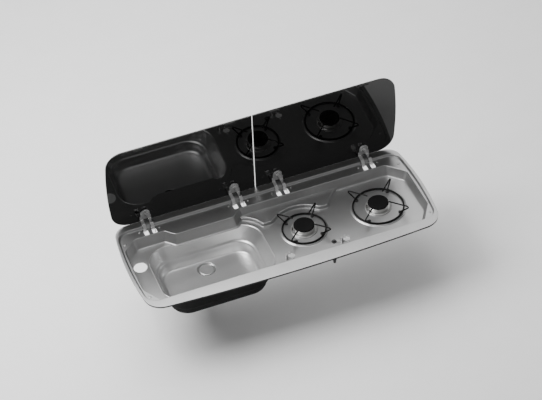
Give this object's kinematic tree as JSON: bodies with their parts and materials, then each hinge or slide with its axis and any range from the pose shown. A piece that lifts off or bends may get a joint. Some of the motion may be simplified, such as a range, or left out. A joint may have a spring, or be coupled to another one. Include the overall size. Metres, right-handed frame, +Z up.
{
  "type": "hob and sink combination unit",
  "caption": "Slim pressed steel tray for a camper kitchen with a sink bowl on the left, two gas burners with wire trivets on the right and a folding black glass lid in two leaves.",
  "frame": {"origin": "middle of the tray on the top face of its rim, at the middle of the worktop opening", "axes": "+X along the tray to the burners, +Y to the hinges at the back, +Z up"},
  "size_m": [0.9, 0.3732, 0.4833],
  "materials": {
    "tray_steel": "satin pressed stainless steel",
    "bowl_coat": "matt black sound-damping coat",
    "seal_rubber": "soft black rubber",
    "lid_glass": "black toughened glass, opaque and mirror-smooth",
    "trivet_enamel": "black enamelled steel wire",
    "cap_enamel": "matt black enamelled steel",
    "burner_aluminium": "cast and machined",
    "fitting_brass": "machined",
    "bright_steel": "bright zinc-plated or polished steel",
    "plain_steel": "plain steel",
    "white_ceramic": "glazed ceramic",
    "black_plastic": "moulded, matt"
  },
  "bodies": {
    "tray": {"bowl_coat": "bowl_coat", "burner_base_left": "burner_aluminium", "burner_base_right": "burner_aluminium", "burner_cup_left": "burner_aluminium", "burner_cup_right": "burner_aluminium", "burner_jets": "fitting_brass", "burner_pipe_left": "burner_aluminium", "burner_pipe_right": "burner_aluminium", "deck": "tray_steel", "fixing_screws": "bright_steel", "gas_inlet": "plain_steel", "gas_rail": "plain_steel", "hinge_bracket_inner_left": "bright_steel", "hinge_bracket_inner_right": "bright_steel", "hinge_bracket_outer_left": "bright_steel", "hinge_bracket_outer_right": "bright_steel", "hinge_pins": "plain_steel", "hinge_screws": "bright_steel", "igniter_body": "black_plastic", "inlet_nut": "fitting_brass", "rim_seal": "seal_rubber", "sink_bowl": "tray_steel", "spark_electrodes": "white_ceramic", "thermocouples": "plain_steel", "valve_body_left": "burner_aluminium", "valve_body_right": "burner_aluminium", "valve_screws": "bright_steel", "waste_body": "black_plastic", "waste_flange": "bright_steel", "waste_gasket": "seal_rubber"},
    "lid_left": {"lid_glass_left": "lid_glass", "lid_buffers_left": "seal_rubber", "glass_pads_left": "seal_rubber", "clamp_screws_left": "bright_steel", "hinge_arm_outer_left": "bright_steel", "hinge_arm_inner_left": "bright_steel", "backplate_outer_left": "bright_steel", "backplate_inner_left": "bright_steel"},
    "trivet_left": {"trivet_left": "trivet_enamel", "trivet_feet_left": "seal_rubber"},
    "cap_left": {"burner_cap_left": "cap_enamel"},
    "cone_left": {"valve_cone_left": "fitting_brass"},
    "spindle_left": {"valve_spindle_left": "plain_steel"},
    "lid_right": {"lid_glass_right": "lid_glass", "lid_buffers_right": "seal_rubber", "glass_pads_right": "seal_rubber", "clamp_screws_right": "bright_steel", "hinge_arm_outer_right": "bright_steel", "hinge_arm_inner_right": "bright_steel", "backplate_outer_right": "bright_steel", "backplate_inner_right": "bright_steel"},
    "trivet_right": {"trivet_right": "trivet_enamel", "trivet_feet_right": "seal_rubber"},
    "cap_right": {"burner_cap_right": "cap_enamel"},
    "cone_right": {"valve_cone_right": "fitting_brass"},
    "spindle_right": {"valve_spindle_right": "plain_steel"},
    "plug": {"waste_plug": "bright_steel", "plug_seal": "seal_rubber"},
    "button": {"igniter_button": "black_plastic"}
  },
  "joints": [
    {"name": "lid_hinge_left", "type": "hinge", "parent": "tray", "child": "lid_left", "pos_m": [0, 0.16159, -0.0192], "axis": [-1, 0, 0], "range_deg": [-85.6, 0]},
    {"name": "lid_hinge_right", "type": "hinge", "parent": "tray", "child": "lid_right", "pos_m": [0, 0.16159, -0.0192], "axis": [-1, 0, 0], "range_deg": [-85.6, 0]},
    {"name": "trivet_lift_left", "type": "slide", "parent": "tray", "child": "trivet_left", "axis": [0, 0, 1], "range_m": [0, 0.06]},
    {"name": "cap_lift_left", "type": "slide", "parent": "tray", "child": "cap_left", "axis": [0, 0, 1], "range_m": [0, 0.03]},
    {"name": "trivet_lift_right", "type": "slide", "parent": "tray", "child": "trivet_right", "axis": [0, 0, 1], "range_m": [0, 0.06]},
    {"name": "cap_lift_right", "type": "slide", "parent": "tray", "child": "cap_right", "axis": [0, 0, 1], "range_m": [0, 0.03]},
    {"name": "plug_lift", "type": "slide", "parent": "tray", "child": "plug", "axis": [0, 0, 1], "range_m": [0, 0.06]},
    {"name": "valve_turn_left", "type": "hinge", "parent": "tray", "child": "cone_left", "pos_m": [-0.0103, -0.095, -0.0588], "axis": [0, 0, 1], "range_deg": [0, 240]},
    {"name": "spindle_push_left", "type": "slide", "parent": "cone_left", "child": "spindle_left", "axis": [0, 0, -1], "range_m": [0, 0.003], "stiffness_N_per_m": 600, "springref_m": -0.003},
    {"name": "valve_turn_right", "type": "hinge", "parent": "tray", "child": "cone_right", "pos_m": [0.158, -0.095, -0.0588], "axis": [0, 0, 1], "range_deg": [0, 240]},
    {"name": "spindle_push_right", "type": "slide", "parent": "cone_right", "child": "spindle_right", "axis": [0, 0, -1], "range_m": [0, 0.003], "stiffness_N_per_m": 600, "springref_m": -0.003},
    {"name": "igniter_push", "type": "slide", "parent": "tray", "child": "button", "axis": [0, 0, -1], "range_m": [0, 0.003], "stiffness_N_per_m": 400, "springref_m": -0.003}
  ]
}
